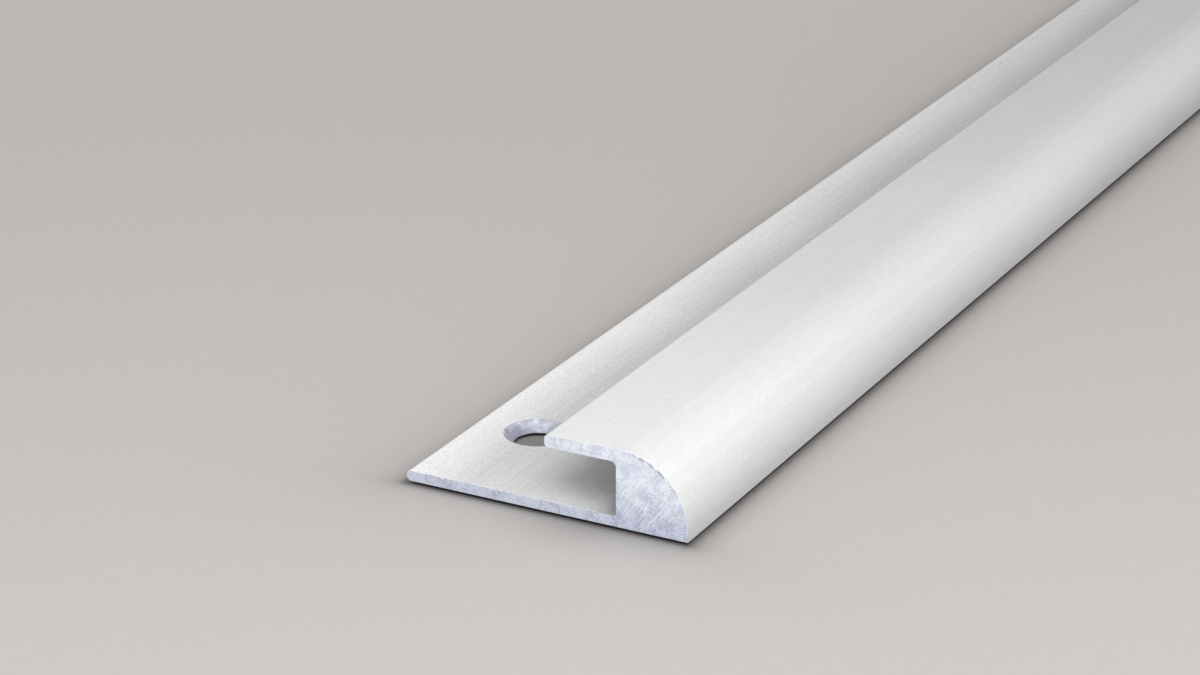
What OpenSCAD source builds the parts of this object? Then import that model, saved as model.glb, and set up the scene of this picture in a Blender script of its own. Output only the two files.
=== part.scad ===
// Edge trim for tiles and hard floor coverings: one straight aluminium extrusion.
// A thin screw flange lies under the covering, a slot takes the covering's edge,
// and a quarter-round nose finishes it.
// Millimetres. X runs across the bar towards the nose, Y along it, Z up.
// The origin is at the middle of the underside.

/* [Stock] */
// Length that the bar is sold in
bar_l = 900; // [300:50:3000]

/* [Flange] */
// Width of flange that stands out past the lip
flange_w = 13.75; // [11:0.25:30]
// Thickness of the flange
flange_t = 1.0; // [0.8:0.1:2]

/* [Slot] */
// Clear height of the slot, for the covering's edge
slot_h = 5.0; // [3:0.5:12]
// Depth of the slot, from the lip's edge to its end wall
slot_d = 6.9; // [4:0.1:12]
// Fillet where the end wall meets the lip
slot_top_r = 0.5; // [0.2:0.05:1]
// Fillet where the end wall meets the flange
slot_low_r = 0.25; // [0.1:0.05:1]

/* [Lip and nose] */
// Thickness of the lip over the slot
lip_t = 1.2; // [1:0.1:2.5]
// Rounding of the lip's edge, above and below
lip_r = 0.45; // [0.1:0.05:0.5]
// Height of the upright toe below the nose's curve
toe_h = 0.8; // [0.4:0.1:2]
// Flat on top of the nose, from the slot's end wall to the curve
nose_flat = 0.45; // [0.2:0.05:5]

/* [Screw holes] */
// Diameter of the straight land at the underside
hole_d = 4.3; // [3:0.1:5]
// Height of that land
land_t = 0.1; // [0.1:0.05:0.5]
// Full angle of the countersink above it
sink_angle = 90; // [82:1:100]
// Hole centre from the flange's outer edge
hole_edge = 6.2; // [5:0.1:8]
// First hole's centre from the end of the bar
hole_end = 12.5; // [8:0.5:40]
// Distance from hole to hole along the bar
hole_pitch = 175; // [100:25:400]

/* [Hidden] */
// Circles and revolves are drawn with this many sides
$fn = 96;
// How far a cutting shape runs past the faces that it cuts
cut_past = 0.5;

bar_h = flange_t + slot_h + lip_t;
// The nose is a quarter circle, tangent to the toe and to the flat top
nose_r = bar_h - toe_h;
nose_w = nose_r + nose_flat;
bar_w = flange_w + slot_d + nose_w;

// Places across the bar
edge_x = -bar_w / 2;
lip_x = edge_x + flange_w;
web_x = lip_x + slot_d;
nose_x = bar_w / 2;
hole_x = edge_x + hole_edge;
// Underside of the lip
lip_z = flange_t + slot_h;

sink_r = hole_d / 2 + (flange_t + cut_past - land_t) * tan(sink_angle / 2);

// What a rounding of radius r takes off a square corner at the origin, where
// the material lies towards +X and +Y
module corner_cut(r) {
    difference() {
        translate([-cut_past, -cut_past]) square(r + cut_past);
        translate([r, r]) circle(r);
    }
}

// Flange with a fully rounded outer edge, running under the slot to the nose
module flange_outline() {
    edge_r = flange_t / 2;
    translate([edge_x + edge_r, edge_r]) circle(edge_r);
    translate([edge_x + edge_r, 0]) square([bar_w - edge_r - nose_w / 2, flange_t]);
}

// Lip, slot and nose as one full block, before the slot is cut
module head_block() {
    translate([lip_x, 0]) square([slot_d + nose_w, bar_h]);
}

// Open slot with filleted inner corners
module slot_outline() {
    difference() {
        translate([lip_x - cut_past, flange_t]) square([slot_d + cut_past, slot_h]);
        translate([web_x, lip_z]) rotate(180) corner_cut(slot_top_r);
        translate([web_x, flange_t]) rotate(90) corner_cut(slot_low_r);
    }
}

// Cross-section of the extrusion, with height drawn along Y
module section() {
    lip_round = min(lip_r, lip_t / 2);
    difference() {
        union() {
            flange_outline();
            head_block();
        }
        slot_outline();
        translate([nose_x, bar_h]) rotate(180) corner_cut(nose_r);
        translate([lip_x, bar_h]) rotate(-90) corner_cut(lip_round);
        translate([lip_x, lip_z]) corner_cut(lip_round);
    }
}

// Countersunk hole, as the solid that it takes away, on the underside at the origin
module screw_hole() {
    rotate_extrude()
        polygon([
            [0, -cut_past],
            [hole_d / 2, -cut_past],
            [hole_d / 2, land_t],
            [sink_r, flange_t + cut_past],
            [0, flange_t + cut_past]
        ]);
}

// The whole bar: the section along its length, sawn square, with its row of screw holes
module edge_trim() {
    color("gainsboro")
    difference() {
        rotate([90, 0, 0]) linear_extrude(height = bar_l, center = true) section();
        for (y = [-bar_l / 2 + hole_end : hole_pitch : bar_l / 2 - hole_end])
            translate([hole_x, y, 0]) screw_hole();
    }
}

edge_trim();
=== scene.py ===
import math

import bmesh
import bpy
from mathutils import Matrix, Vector


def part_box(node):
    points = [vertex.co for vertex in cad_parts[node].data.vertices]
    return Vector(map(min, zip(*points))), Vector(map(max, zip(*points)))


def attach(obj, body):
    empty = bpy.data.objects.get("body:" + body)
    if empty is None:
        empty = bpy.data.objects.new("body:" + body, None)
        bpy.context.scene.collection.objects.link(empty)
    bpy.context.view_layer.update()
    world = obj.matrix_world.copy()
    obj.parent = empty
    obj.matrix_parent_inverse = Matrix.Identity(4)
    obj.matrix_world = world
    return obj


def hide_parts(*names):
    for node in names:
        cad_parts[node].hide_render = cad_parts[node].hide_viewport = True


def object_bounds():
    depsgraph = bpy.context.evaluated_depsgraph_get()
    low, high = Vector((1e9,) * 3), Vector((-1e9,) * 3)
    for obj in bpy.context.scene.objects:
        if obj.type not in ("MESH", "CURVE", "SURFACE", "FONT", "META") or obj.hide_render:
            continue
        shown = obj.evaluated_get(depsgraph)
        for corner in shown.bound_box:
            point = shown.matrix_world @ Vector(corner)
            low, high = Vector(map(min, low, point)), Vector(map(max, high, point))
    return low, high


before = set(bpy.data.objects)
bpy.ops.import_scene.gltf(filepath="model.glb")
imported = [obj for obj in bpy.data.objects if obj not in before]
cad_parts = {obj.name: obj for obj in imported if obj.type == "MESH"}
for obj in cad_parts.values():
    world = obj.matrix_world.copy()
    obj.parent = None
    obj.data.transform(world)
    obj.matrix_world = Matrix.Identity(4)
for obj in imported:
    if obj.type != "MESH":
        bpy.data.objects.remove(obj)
cad_low, cad_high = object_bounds()

# Sizes are in millimetres, as in the solid model, and the finished mesh is scaled to metres
MM = 0.001
trim_low, trim_high = (Vector(corner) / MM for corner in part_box("edge_trim"))

# The die's section
FLANGE_W = 13.75
FLANGE_T = 1.0
SLOT_H = 5.0
SLOT_D = 6.9
SLOT_TOP_ROUND = 0.5
SLOT_LOW_ROUND = 0.25
LIP_ROUND = 0.45
TOE_H = 0.8

# The row of countersunk holes
HOLE_D = 4.3
LAND_T = 0.1
HOLE_EDGE = 6.2
HOLE_END = 12.5
HOLE_PITCH = 175.0
HOLE_STEPS = 64

# Flat rings round a hole's upper and lower rim, which the flange is filled up to
RING_ABOVE = 0.4
RING_BELOW = 0.3

# Soft edges that the saw and the countersink leave
SAWN_EDGE = 0.03
SINK_RIM = 0.12
# A face in a hole that rises more than this is bare metal
BARE_RISE = 0.02

# Places across the bar, along it and up it
EDGE_X = trim_low.x
NOSE_X = trim_high.x
NEAR_Y = trim_low.y
FAR_Y = trim_high.y
TOP_Z = trim_high.z
LIP_X = EDGE_X + FLANGE_W
WEB_X = LIP_X + SLOT_D
LIP_Z = FLANGE_T + SLOT_H
NOSE_R = TOP_Z - TOE_H
HOLE_X = EDGE_X + HOLE_EDGE
HOLE_R = HOLE_D / 2
# The countersink's wall leans at 45 degrees
SINK_R = HOLE_R + FLANGE_T - LAND_T
BAR_L = FAR_Y - NEAR_Y
HOLE_COUNT = 1 + round((BAR_L - 2 * HOLE_END) / HOLE_PITCH)
HOLE_YS = [NEAR_Y + HOLE_END + n * HOLE_PITCH for n in range(HOLE_COUNT)]

# The skin is cut into lengths, so that no face runs the whole bar
SKIN_LENGTH = 100.0
LENGTH_COUNT = round(BAR_L / SKIN_LENGTH)

# The sheet on which the surface is laid flat for its finish, with the sawn ends drawn larger
SHEET_SIZE = 332.0
SHEET_EDGE = Vector((2.0, 2.0))
SHEET_GAP = 2.0
SHEET_COLUMNS = 3
SAWN_SCALE = 2.9
SAWN_STEP = 32.0

# Places of the bare metal's materials on the bar's mesh, after the skin's, which is 0
SAWN = 1
DRILLED = 2

# Two places closer than this are the same place
SAME = 1e-3
# A face lies square to an axis if its normal reaches this far along it
SQUARE = 0.99
# Edges that turn more than this stay sharp
SHARP_TURN = math.radians(50)

# The skin's painted light and shade: where the flange's painted tones fade past the lip and the web, the
# painted light along its outer edge, and the painted shade in its corner by the web
FLANGE_TONE_PAST = 0.05
FLANGE_TONE_LIP = 0.5
FLANGE_TONE_WEB = 0.4
PAINTED_EDGE_LIGHT_W = 7.5
SHADED_CORNER_START = 2.4
SHADED_CORNER_END = 0.4

# The sawn ends' tones: painted shade, darkest up to one height near the floor and gone from another, with
# painted light fading in at the flange's tip and a fade at the web
SAWN_DARK_TO = 0.4
SAWN_PALE_FROM = 5.0
SAWN_FADE = 2.0
# The height in a countersink from which its flecks begin
FLECKS_FROM = 0.3

# The saw's streaks: their slant, their number a metre across and along them, and the nose's worst spot
SAW_SLANT = math.radians(33)
STREAKS_ACROSS = 6000
STREAKS_ALONG = 520
SCARRED_SPOT = Vector((10.5, 0, 3.5)) * MM
SCARRED_INNER = 1.5
SCARRED_OUTER = 3.6
# The nicks: how far round the nose from upright, where they fade in, and how deep they reach from its rim
NICKS_TURN = math.radians(34)
NICKS_FADE = (0.87 * NOSE_R * MM, 0.93 * NOSE_R * MM)
NICKS_INNER = 0.4
NICKS_OUTER = 0.15

# How far the grain, the saw's marks and the cutter's marks stand up, in metres
RELIEF = 0.006 * MM

# The floor's half width, and the thin gap that shows under the bar, in metres
FLOOR_HALF = 8.0
FLOOR_GAP = 0.25 * MM
# The floor is plain, but round the bar's near end a painted pool of light falls off a little from a pale
# spot to a dull tone
FLOOR_PLAIN = 0.56
FLOOR_SHARE = 0.32
FLOOR_VIEW = Vector((-0.019, -0.403, 0))
FLOOR_VIEW_INNER = 0.11
FLOOR_VIEW_OUTER = 0.40
FLOOR_POOL = Vector((0.166, -0.656, 0))
FLOOR_FRONT = 1.26
FLOOR_REACH = 0.274
FLOOR_PALE = 0.80
FLOOR_PALE_BLEND = 0.06
FLOOR_DULL = 0.34
FLOOR_DULL_BLEND = 0.1
FLOOR_TINT = (1.0, 0.951, 0.923, 1)
# What the floor throws back at the bar is darker than what shows of it
FLOOR_BOUNCE = (0.12, 0.118, 0.115, 1)
# Shade on the floor close to the bar: how fast it fades across and along, its width and its darkest
SHADE_FADE = Vector((0.85, 1.35, 1))
SHADE_WIDTH = 0.5 * MM
SHADE_DARKEST = 0.36
BLACK = (0, 0, 0, 1)

# Lamps round each sawn end, in metres: across the bar, out past the end, up, width and watts
END_LAMPS = {
    "right": (0.130, 0.102, 0.150, 0.26, 0.445),
    "top": (0.028, 0.106, 0.190, 0.14, 0.206),
    "low": (0.0, 0.188, 0.068, 0.10, 0.094),
}
# The two ends: place along the bar, spread of the lamps' light in degrees and share of their watts
LAMP_ENDS = {
    "near": (NEAR_Y * MM, 180, 1),
    "far": (FAR_Y * MM, 80, 0.24),
}
# The lamps at an end aim this far in from it
END_AIM = 0.01
# Lamps over the middle of the bar: their places along it, height, width, watts and spread in degrees
MIDDLE_YS = (-0.10, 0.06, 0.22)
MIDDLE_UP = 0.30
MIDDLE_WIDTH = 0.20
MIDDLE_WATTS = 0.036
MIDDLE_SPREAD = 50
# Single lamps: place, aim, width and watts
RIGHT_BACK_LAMP = ((0.40, 0.10, 0.35), (0.0, -0.42, 0.0), 0.40, 0.69)
FLOOR_LAMP = ((0, 0, 3.0), (0, 0, 0), 6.0, 122.0)
WORLD_LEVEL = 0.34

# The camera's place in metres, its turns, and its lens and film in millimetres
CAMERA_PLACE = Vector((0.12597, -0.67722, 0.12023))
CAMERA_TILT = math.radians(68.14)
CAMERA_TURN = math.radians(27.95)
CAMERA_LENS = 100.0
CAMERA_FILM = 36.0
CAMERA_NEAREST = 0.01


class Socket:
    """An output of a material's nodes, on which sums are written as sums."""

    def __init__(self, tree, out):
        self.tree = tree
        self.out = out

    def node(self, kind, settings=None, sockets=None, output=0):
        """Adds a node of any kind, its settings first, and gives one of its outputs."""
        added = self.tree.nodes.new(kind)
        for name, value in (settings or {}).items():
            setattr(added, name, value)
        for key, value in (sockets or {}).items():
            if isinstance(value, Socket):
                self.tree.links.new(value.out, added.inputs[key])
            else:
                added.inputs[key].default_value = value
        return Socket(self.tree, added.outputs[output])

    def maths(self, operation, *terms):
        """A sum of numbers."""
        return self.node("ShaderNodeMath", {"operation": operation}, dict(enumerate(terms)))

    def vectors(self, operation, *terms, output=0):
        """A sum of vectors. Output 1 is a number, for the sums that end in one."""
        return self.node("ShaderNodeVectorMath", {"operation": operation}, dict(enumerate(terms)), output)

    def __add__(self, other):
        return self.maths("ADD", self, other)

    def __radd__(self, other):
        return self.maths("ADD", other, self)

    def __sub__(self, other):
        return self.maths("SUBTRACT", self, other)

    def __rsub__(self, other):
        return self.maths("SUBTRACT", other, self)

    def __mul__(self, other):
        return self.maths("MULTIPLY", self, other)

    def __rmul__(self, other):
        return self.maths("MULTIPLY", other, self)

    def __truediv__(self, other):
        return self.maths("DIVIDE", self, other)

    def __rtruediv__(self, other):
        return self.maths("DIVIDE", other, self)

    def noise(self, lumps, detail, roughness):
        """Soft noise from 0 to 1 on these coordinates, with so many lumps a metre along each axis."""
        spread = self.vectors("MULTIPLY", self, lumps)
        return spread.node(
            "ShaderNodeTexNoise", None,
            {"Vector": spread, "Scale": 1.0, "Detail": detail, "Roughness": roughness},
        )

    def along(self, direction):
        """How far these coordinates reach in one direction."""
        return self.vectors("DOT_PRODUCT", self, direction, output=1)

    def from_point(self, point, axes):
        """How far these coordinates lie from a point, counted along the axes that are 1."""
        flat = self.vectors("MULTIPLY", self, axes)
        return flat.vectors("DISTANCE", flat, point, output=1)

    def outside(self, half_size):
        """How far these coordinates lie outside a box about the origin."""
        folded = self.vectors("ABSOLUTE", self)
        past = folded.vectors("SUBTRACT", folded, half_size)
        kept = past.vectors("MAXIMUM", past, (0, 0, 0))
        return kept.vectors("LENGTH", kept, output=1)

    def between(self, low, high):
        """0 below low, 1 above high, and a smooth step from one to the other."""
        return self.node(
            "ShaderNodeMapRange", {"interpolation_type": "SMOOTHSTEP"},
            {"Value": self, "From Min": low, "From Max": high},
        )

    def between_mm(self, low, high):
        """The same step over a distance, from one number of millimetres to another."""
        return self.between(low * MM, high * MM)

    def mix(self, first, second):
        """One colour where this is 0, the other where it is 1."""
        return self.node(
            "ShaderNodeMix", {"data_type": "RGBA", "clamp_factor": True},
            {0: self, 6: first, 7: second}, output=2,
        )

    def bump(self, height):
        """A normal that follows this relief, where 1 stands so many metres above 0."""
        return self.node("ShaderNodeBump", None, {"Height": self, "Distance": height})


def start_material(name, **constants):
    """A material with the shader's constant values set, and the piece's own coordinates to draw on."""
    material = bpy.data.materials.new(name)
    material.use_nodes = True
    tree = material.node_tree
    shader = tree.nodes["Principled BSDF"]
    for socket, value in constants.items():
        shader.inputs[socket.replace("_", " ")].default_value = value
    coordinates = tree.nodes.new("ShaderNodeTexCoord")
    return material, shader, Socket(tree, coordinates.outputs["Object"])


def feed(shader, **values):
    """Links what changes over the surface to the shader."""
    for socket, value in values.items():
        value.tree.links.new(value.out, shader.inputs[socket.replace("_", " ")])


def anodised_skin():
    """Matt silver anodising: a fine etched grain, faint lines of the die, and painted light and shade on
    the flange.
    """
    material, shader, place = start_material("anodised_skin", Metallic=0.5)
    across = place.along((1, 0, 0))
    height = place.along((0, 0, 1))
    grain = place.noise((4200, 4200, 4200), detail=2.0, roughness=0.6)
    die_lines = place.noise((2400, 8, 2400), detail=2.0, roughness=0.55)
    clouds = place.noise((70, 35, 70), detail=3.0, roughness=0.5)
    # Painted light and shade on the flange and in the slot: a little darker all under the lip, paler
    # towards the flange's outer edge, and darker in the slot and its corner by the web
    under_lip = 1 - height.between_mm(LIP_Z + FLANGE_TONE_PAST, LIP_Z + FLANGE_TONE_LIP)
    before_web = 1 - across.between_mm(WEB_X + FLANGE_TONE_PAST, WEB_X + FLANGE_TONE_WEB)
    flange = under_lip * before_web
    painted_edge_light = 1 - across.between_mm(EDGE_X, EDGE_X + PAINTED_EDGE_LIGHT_W)
    slot_shade = across.between_mm(LIP_X, WEB_X)
    corner = across.between_mm(WEB_X - SHADED_CORNER_START, WEB_X - SHADED_CORNER_END)
    painted_light_and_shade = flange * (0.10 - painted_edge_light * 0.29 + slot_shade * 0.14 + corner * 0.24)
    tone = grain * 0.6 + die_lines * 0.2 + clouds * 0.2 - 0.5
    feed(
        shader,
        Base_Color=(0.82 + tone * (0.30 + flange * 0.42)) * (1 - painted_light_and_shade),
        Roughness=0.7 + (grain - 0.5) * 0.1 + (clouds - 0.5) * 0.05,
        Normal=(grain + die_lines * 0.5).bump(RELIEF),
    )
    return material


def saw_streaks(place, patches):
    """Fine slanting streaks from the saw's teeth, patchy, and strongest on the nose."""
    across = place.along((math.cos(SAW_SLANT), 0, -math.sin(SAW_SLANT)))
    down = place.along((math.sin(SAW_SLANT), 0, math.cos(SAW_SLANT)))
    slanted = across.node(
        "ShaderNodeCombineXYZ", None,
        {0: across * STREAKS_ACROSS, 1: down * STREAKS_ALONG},
    )
    lines = slanted.noise((1, 1, 1), detail=2.0, roughness=0.6).between(0.48, 0.60)
    on_nose = 1 - place.from_point(SCARRED_SPOT, (1, 0, 1)).between_mm(SCARRED_INNER, SCARRED_OUTER)
    return lines * (0.25 + on_nose * 0.75) * (0.7 + patches.between(0.40, 0.58) * 0.3)


def nose_nicks(place):
    """Small dark nicks in the upper rim of the nose."""
    centre = Vector((NOSE_X - NOSE_R, 0, TOE_H)) * MM
    towards = Vector((math.sin(NICKS_TURN), 0, math.cos(NICKS_TURN)))
    upper = (place.along(towards) - centre.dot(towards)).between(*NICKS_FADE)
    rim = place.from_point(centre, (1, 0, 1)).between_mm(NOSE_R - NICKS_INNER, NOSE_R - NICKS_OUTER)
    specks = place.noise((1700, 1700, 1700), detail=3.0, roughness=0.6).between(0.46, 0.58)
    return specks * rim * upper


def sawn_end():
    """Bare metal as a saw leaves it: faintly blue and cloudy, with painted shade darker towards the
    floor, painted light at the flange's tip, streaks and nicks.
    """
    material, shader, place = start_material("sawn_end", Metallic=0.3)
    clouds = place.noise((2600, 2600, 2600), detail=3.0, roughness=0.6)
    patches = place.noise((800, 800, 800), detail=2.0, roughness=0.5)
    flecks = place.noise((5200, 5200, 5200), detail=2.0, roughness=0.6)
    across = place.along((1, 0, 0))
    # Painted shade darkens the end towards the floor, and painted light pales the flange's tip
    high = place.along((0, 0, 1)).between_mm(SAWN_DARK_TO, SAWN_PALE_FROM)
    painted_tip_light = 1 - across.between_mm(EDGE_X, EDGE_X + SAWN_FADE)
    flange = 1 - across.between_mm(WEB_X - SAWN_FADE, WEB_X)
    dark = high.mix((0.44, 0.475, 0.60, 1), (0.66, 0.705, 0.86, 1))
    pale = high.mix((0.66, 0.70, 0.85, 1), (0.89, 0.935, 1.0, 1))
    # The tone takes in the painted light at the tip, and lifts the painted shade a little on the flange's
    # end
    tone = clouds * 0.3 + patches * 0.4 + flecks * 0.3 + painted_tip_light * 0.25 + flange * (1 - high) * 0.045
    cloudy = tone.between(0.42, 0.58).mix(dark, pale)
    streaks = saw_streaks(place, patches)
    streaked = (streaks * 0.8).mix(cloudy, (0.94, 0.965, 1.0, 1))
    nicks = nose_nicks(place)
    feed(
        shader,
        Base_Color=(nicks * 0.75).mix(streaked, (0.36, 0.36, 0.37, 1)),
        Roughness=0.55 + (clouds - 0.5) * 0.15,
        Normal=(streaks * 0.6 + clouds - nicks * 2).bump(RELIEF),
    )
    return material


def drilled_wall():
    """Bare metal inside a countersink, cloudy from the cutter, with pale flecks towards its rim."""
    material, shader, place = start_material("drilled_wall", Metallic=0.5)
    clouds = place.noise((1100, 1100, 1100), detail=3.0, roughness=0.6)
    high = place.along((0, 0, 1)).between_mm(FLECKS_FROM, FLANGE_T)
    flecks = place.noise((2600, 2600, 2600), detail=2.0, roughness=0.6).between(0.56, 0.68) * high
    cloudy = clouds.between(0.38, 0.62).mix((0.37, 0.38, 0.45, 1), (0.53, 0.54, 0.62, 1))
    feed(
        shader,
        Base_Color=(flecks * 0.6).mix(cloudy, (0.86, 0.87, 0.93, 1)),
        Roughness=0.65 + (clouds - 0.5) * 0.15,
        Normal=clouds.bump(RELIEF),
    )
    return material


def pale_floor():
    """A nearly plain warm grey studio floor with a very fine tooth, a painted pool of light round the
    bar's near end, and painted shade close to the bar.
    """
    material, shader, place = start_material("pale_floor", Metallic=0.0, Specular_IOR_Level=0.2)
    tooth = place.noise((2500, 2500, 2500), detail=2.0, roughness=0.6)
    # A painted pool of light round the near end, falling off to a dull tone and blended into the plain
    # floor near the view
    away = place.from_point(FLOOR_POOL, (1, 1, 0)) / FLOOR_REACH
    falling = FLOOR_FRONT / (1 + away * away * away)
    pale = falling.maths("SMOOTH_MIN", falling, FLOOR_PALE, FLOOR_PALE_BLEND)
    graded = pale.maths("SMOOTH_MAX", pale, FLOOR_DULL, FLOOR_DULL_BLEND)
    from_view = place.from_point(FLOOR_VIEW, (1, 1, 0))
    here = (1 - from_view.between(FLOOR_VIEW_INNER, FLOOR_VIEW_OUTER)) * FLOOR_SHARE
    level = (FLOOR_PLAIN + (graded - FLOOR_PLAIN) * here) * (0.95 + tooth * 0.1)
    plain = level.mix(BLACK, FLOOR_TINT)
    half_bar = Vector((NOSE_X * MM, FAR_Y * MM, 1))
    gap = place.vectors("MULTIPLY", place, SHADE_FADE).outside(SHADE_FADE * half_bar)
    shade = gap / (gap + SHADE_WIDTH)
    shaded = shade.maths("MAXIMUM", shade, SHADE_DARKEST).mix(BLACK, plain)
    rays = ("Is Camera Ray", "Is Glossy Ray", "Is Transmission Ray")
    seen = sum(place.node("ShaderNodeLightPath", output=ray) for ray in rays)
    feed(
        shader,
        Base_Color=seen.mix(FLOOR_BOUNCE, shaded),
        Roughness=0.75 + tooth * 0.1,
    )
    return material


def near(a, b):
    """Whether two sizes are the same, but for rounding."""
    return abs(a - b) < SAME


def round_corner(bm, corner, radius, segments):
    """Rounds one corner of a flat face."""
    bmesh.ops.bevel(
        bm, geom=[corner], offset=radius, offset_type="OFFSET", segments=segments,
        profile=0.5, affect="VERTICES", material=-1, clamp_overlap=False,
    )


def soften(bm, edges, width, segments):
    """Takes the sharpness off these edges."""
    bmesh.ops.bevel(
        bm, geom=edges, offset=width, offset_type="OFFSET", segments=segments,
        profile=0.5, affect="EDGES", material=-1, clamp_overlap=True,
    )


def draw_section(bm):
    """The section as one face at the near end, with the die's rounded corners. Gives its outline."""
    # Each corner's place across and up, its rounding, and the segments of that
    corners = [
        (EDGE_X, 0.0, FLANGE_T / 2, 8),
        (NOSE_X, 0.0, 0.0, 0),
        (NOSE_X, TOP_Z, NOSE_R, 48),
        (LIP_X, TOP_Z, LIP_ROUND, 10),
        (LIP_X, LIP_Z, LIP_ROUND, 10),
        (WEB_X, LIP_Z, SLOT_TOP_ROUND, 8),
        (WEB_X, FLANGE_T, SLOT_LOW_ROUND, 6),
        (EDGE_X, FLANGE_T, FLANGE_T / 2, 8),
    ]
    verts = [bm.verts.new((x, NEAR_Y, z)) for x, z, radius, segments in corners]
    bm.faces.new(verts)
    for vert, (x, z, radius, segments) in zip(verts, corners):
        if radius:
            round_corner(bm, vert, radius, segments)
    bmesh.ops.remove_doubles(bm, verts=bm.verts[:], dist=SAME)
    bm.faces.ensure_lookup_table()
    return [vert.co.xz for vert in bm.faces[0].verts]


def extrude_bar(bm):
    """The section drawn out to the bar's length, with soft sawn edges and the skin cut into lengths."""
    grown = bmesh.ops.extrude_face_region(bm, geom=bm.faces[:])
    moved = [part for part in grown["geom"] if isinstance(part, bmesh.types.BMVert)]
    bmesh.ops.translate(bm, verts=moved, vec=(0, BAR_L, 0))
    sawn_edges = [
        edge for edge in bm.edges
        if any(all(near(vert.co.y, y) for vert in edge.verts) for y in (NEAR_Y, FAR_Y))
    ]
    soften(bm, sawn_edges, SAWN_EDGE, segments=2)
    for n in range(1, LENGTH_COUNT):
        whole = bm.verts[:] + bm.edges[:] + bm.faces[:]
        cut = (0, NEAR_Y + n * SKIN_LENGTH, 0)
        bmesh.ops.bisect_plane(bm, geom=whole, plane_co=cut, plane_no=(0, 1, 0))


def flange_faces(bm, y):
    """The flat faces above and below a hole at y along the bar."""
    found = []
    for face in bm.faces:
        ys = [vert.co.y for vert in face.verts]
        level = face.calc_center_median().z
        on_flange = near(level, 0) or near(level, FLANGE_T)
        if abs(face.normal.z) > SQUARE and on_flange and min(ys) < y < max(ys):
            found.append(face)
    return found


def spin_hole(bm, y):
    """The wall of one countersunk hole, spun from its profile, with its upper rim softened."""
    profile = [
        (SINK_R + RING_ABOVE, FLANGE_T),
        (SINK_R, FLANGE_T),
        (HOLE_R, LAND_T),
        (HOLE_R, 0.0),
        (HOLE_R + RING_BELOW, 0.0),
    ]
    line = [bm.verts.new((HOLE_X + radius, y, z)) for radius, z in profile]
    steps = [bm.edges.new(pair) for pair in zip(line, line[1:])]
    before = set(bm.faces)
    bmesh.ops.spin(
        bm, geom=line + steps, cent=(HOLE_X, y, 0), axis=(0, 0, 1), dvec=(0, 0, 0),
        angle=2 * math.pi, steps=HOLE_STEPS, use_merge=True, use_duplicate=False,
    )
    centre = Vector((HOLE_X, y, FLANGE_T))
    rim = [
        edge for edge in bm.edges
        if all(near((vert.co - centre).length, SINK_R) for vert in edge.verts)
    ]
    soften(bm, rim, SINK_RIM, segments=3)
    for face in bm.faces:
        levels = [vert.co.z for vert in face.verts]
        if face not in before and max(levels) - min(levels) > BARE_RISE:
            face.material_index = DRILLED


def fill_flat(bm, level):
    """Fills the flat of the flange at this level between its outline and a hole's rim."""
    rims = [
        edge for edge in bm.edges
        if edge.is_boundary and all(near(vert.co.z, level) for vert in edge.verts)
    ]
    bmesh.ops.triangle_fill(bm, use_beauty=True, use_dissolve=False, edges=rims, normal=(0, 0, 1))


def drill_hole(bm, y):
    """One countersunk hole through the flange at y along the bar."""
    bmesh.ops.delete(bm, geom=flange_faces(bm, y), context="FACES_ONLY")
    spin_hole(bm, y)
    fill_flat(bm, FLANGE_T)
    fill_flat(bm, 0.0)


def run_round(outline):
    """Stretches round the section from the nose's foot, with the run up to each, and the whole run."""
    foot = min(range(len(outline)), key=lambda n: (outline[n] - Vector((NOSE_X, 0))).length)
    corners = outline[foot:] + outline[:foot + 1]
    stretches = []
    run = 0.0
    for first, second in zip(corners, corners[1:]):
        stretches.append((first, second, run))
        run += (second - first).length
    return stretches, run


def run_to(stretches, place):
    """The run round the section to the spot on it that is nearest to this place."""
    found = []
    for first, second, run in stretches:
        step = second - first
        share = min(max((place - first).dot(step) / step.length_squared, 0), 1)
        found.append(((first + step * share - place).length, run + share * step.length))
    return min(found)[1]


def lay_out_flat(bm, outline):
    """Lays the surface flat for its finish: lengths of skin side by side, the sawn ends beside them."""
    stretches, whole_run = run_round(outline)
    column_w = whole_run + SHEET_GAP
    hole_run = run_to(stretches, Vector((HOLE_X, FLANGE_T)))
    layer = bm.loops.layers.uv.new("OFBake")
    runs = {vert: run_to(stretches, vert.co.xz) for vert in bm.verts}
    for face in bm.faces:
        middle = face.calc_center_median()
        length = min(int((middle.y - NEAR_Y) / SKIN_LENGTH), LENGTH_COUNT - 1)
        start = NEAR_Y + length * SKIN_LENGTH
        row, column = divmod(length, SHEET_COLUMNS)
        skin_low = Vector((column * column_w, row * (SKIN_LENGTH + SHEET_GAP))) + SHEET_EDGE
        sawn_low = Vector((SHEET_COLUMNS * column_w, SAWN_STEP if middle.y > 0 else 0)) + SHEET_EDGE
        middle_run = run_to(stretches, middle.xz)
        hole_y = min(HOLE_YS, key=lambda y: abs(y - middle.y))
        for loop in face.loops:
            x, y, z = loop.vert.co
            if face.material_index == SAWN:
                spot = sawn_low + Vector((x - EDGE_X, z)) * SAWN_SCALE
            elif face.material_index == DRILLED:
                # The land under the countersink is drawn in towards the hole's middle
                aside = Vector((HOLE_X - x, y - hole_y))
                shrunk = 1 - max(LAND_T - z, 0) / aside.length
                spot = skin_low + Vector((hole_run, hole_y - start)) + aside * shrunk
            else:
                run = runs[loop.vert]
                run += whole_run * round((middle_run - run) / whole_run)
                spot = skin_low + Vector((run, y - start))
            loop[layer].uv = spot / SHEET_SIZE


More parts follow.
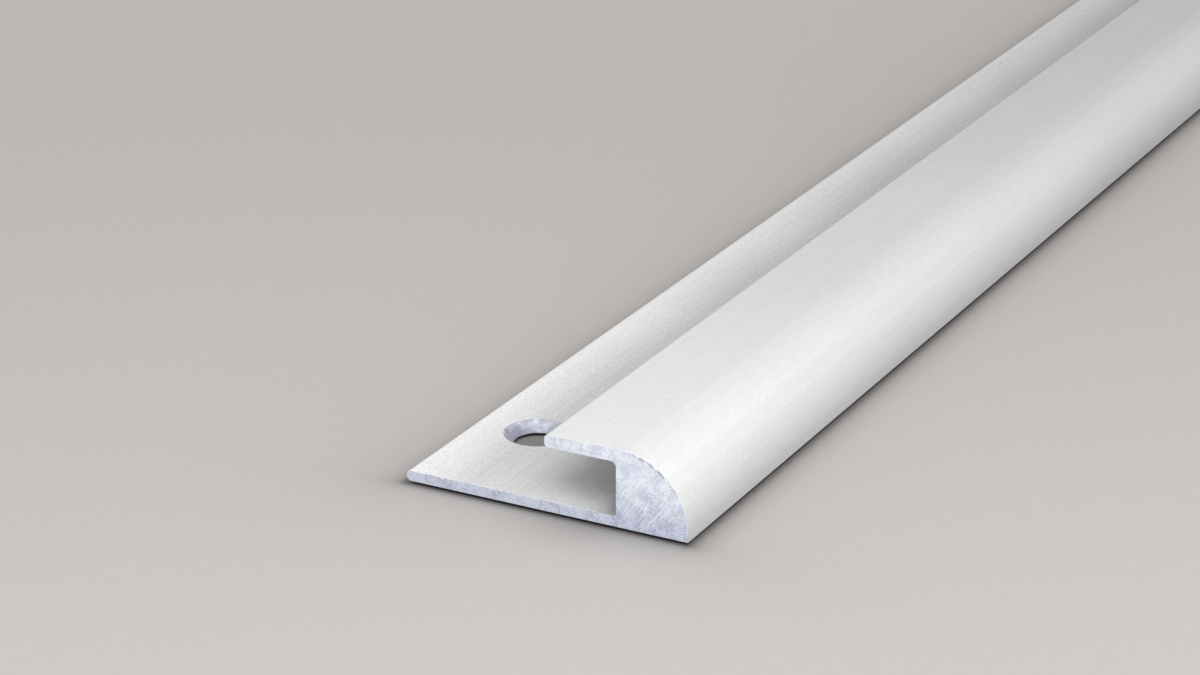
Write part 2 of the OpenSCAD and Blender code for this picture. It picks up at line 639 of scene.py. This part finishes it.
def make_edge_trim():
    """The whole bar: extruded section, sawn ends and a row of countersunk holes."""
    bm = bmesh.new()
    outline = draw_section(bm)
    extrude_bar(bm)
    bmesh.ops.recalc_face_normals(bm, faces=bm.faces[:])
    for face in bm.faces:
        if abs(face.normal.y) > SQUARE:
            face.material_index = SAWN
    for y in HOLE_YS:
        drill_hole(bm, y)
    bmesh.ops.recalc_face_normals(bm, faces=bm.faces[:])
    lay_out_flat(bm, outline)
    bmesh.ops.scale(bm, vec=(MM, MM, MM), verts=bm.verts[:])
    for face in bm.faces:
        face.smooth = True
    mesh = bpy.data.meshes.new("edge_trim_bar")
    bm.to_mesh(mesh)
    bm.free()
    mesh.set_sharp_from_angle(angle=SHARP_TURN)
    for material in (anodised_skin(), sawn_end(), drilled_wall()):
        mesh.materials.append(material)
    bar = bpy.data.objects.new("edge_trim_bar", mesh)
    bpy.context.scene.collection.objects.link(bar)
    flats = bar.modifiers.new("flat_faces_stay_flat", "WEIGHTED_NORMAL")
    flats.keep_sharp = True
    return bar


def make_floor():
    """The studio floor, a hair's breadth under the bar."""
    bm = bmesh.new()
    bmesh.ops.create_grid(bm, x_segments=1, y_segments=1, size=FLOOR_HALF)
    bmesh.ops.translate(bm, verts=bm.verts[:], vec=(0, 0, cad_low.z - FLOOR_GAP))
    mesh = bpy.data.meshes.new("floor")
    bm.to_mesh(mesh)
    bm.free()
    mesh.materials.append(pale_floor())
    floor = bpy.data.objects.new("floor", mesh)
    bpy.context.scene.collection.objects.link(floor)
    return floor


def soft_light(name, place, aim, width, watts, lit, spread=180):
    """A round soft lamp that lights one piece only, so that no pool of light shows on the floor."""
    lamp = bpy.data.lights.new(name, "AREA")
    lamp.shape = "DISK"
    lamp.size = width
    lamp.energy = watts
    lamp.spread = math.radians(spread)
    light = bpy.data.objects.new(name, lamp)
    light.location = place
    light.rotation_euler = (Vector(aim) - Vector(place)).to_track_quat("-Z", "Y").to_euler()
    light.visible_camera = False
    light.light_linking.receiver_collection = lit
    bpy.context.scene.collection.objects.link(light)


def group_of(name, piece):
    """A collection with this piece alone, for the lamps that light it."""
    group = bpy.data.collections.new(name)
    group.objects.link(piece)
    return group


def light_the_pieces(bar, floor):
    """Lamps round both ends of the bar, beside it and over it, and one big lamp over the floor."""
    lit_bar = group_of("lit_bar", bar)
    for side, (end_y, spread, share) in LAMP_ENDS.items():
        out = math.copysign(1, end_y)
        aim = (0, end_y - out * END_AIM, 0)
        for name, (across, past, up, width, watts) in END_LAMPS.items():
            spot = (across, end_y + out * past, up)
            soft_light(f"{side}_{name}", spot, aim, width, watts * share, lit_bar, spread)
    soft_light("right_back", *RIGHT_BACK_LAMP, lit_bar)
    for n, y in enumerate(MIDDLE_YS):
        soft_light(
            f"over_the_middle_{n}", (0, y, MIDDLE_UP), (0, y, 0),
            MIDDLE_WIDTH, MIDDLE_WATTS, lit_bar, MIDDLE_SPREAD,
        )
    soft_light("over_the_floor", *FLOOR_LAMP, group_of("lit_floor", floor))


def light_the_room():
    """Even white light from all round."""
    world = bpy.data.worlds.new("studio")
    world.use_nodes = True
    room = world.node_tree.nodes["Background"]
    room.inputs["Color"].default_value = (1, 1, 1, 1)
    room.inputs["Strength"].default_value = WORLD_LEVEL
    bpy.context.scene.world = world


def place_camera():
    """The camera at the photo's angle, close to the near end."""
    lens = bpy.data.cameras.new("camera")
    lens.lens = CAMERA_LENS
    lens.sensor_width = CAMERA_FILM
    lens.clip_start = CAMERA_NEAREST
    camera = bpy.data.objects.new("camera", lens)
    camera.location = CAMERA_PLACE
    camera.rotation_euler = (CAMERA_TILT, 0, CAMERA_TURN)
    bpy.context.scene.collection.objects.link(camera)
    bpy.context.scene.camera = camera


place_camera()
bar = make_edge_trim()
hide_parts("edge_trim")
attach(bar, "root")
floor = make_floor()
light_the_pieces(bar, floor)
light_the_room()
bpy.context.scene.view_settings.view_transform = "Standard"
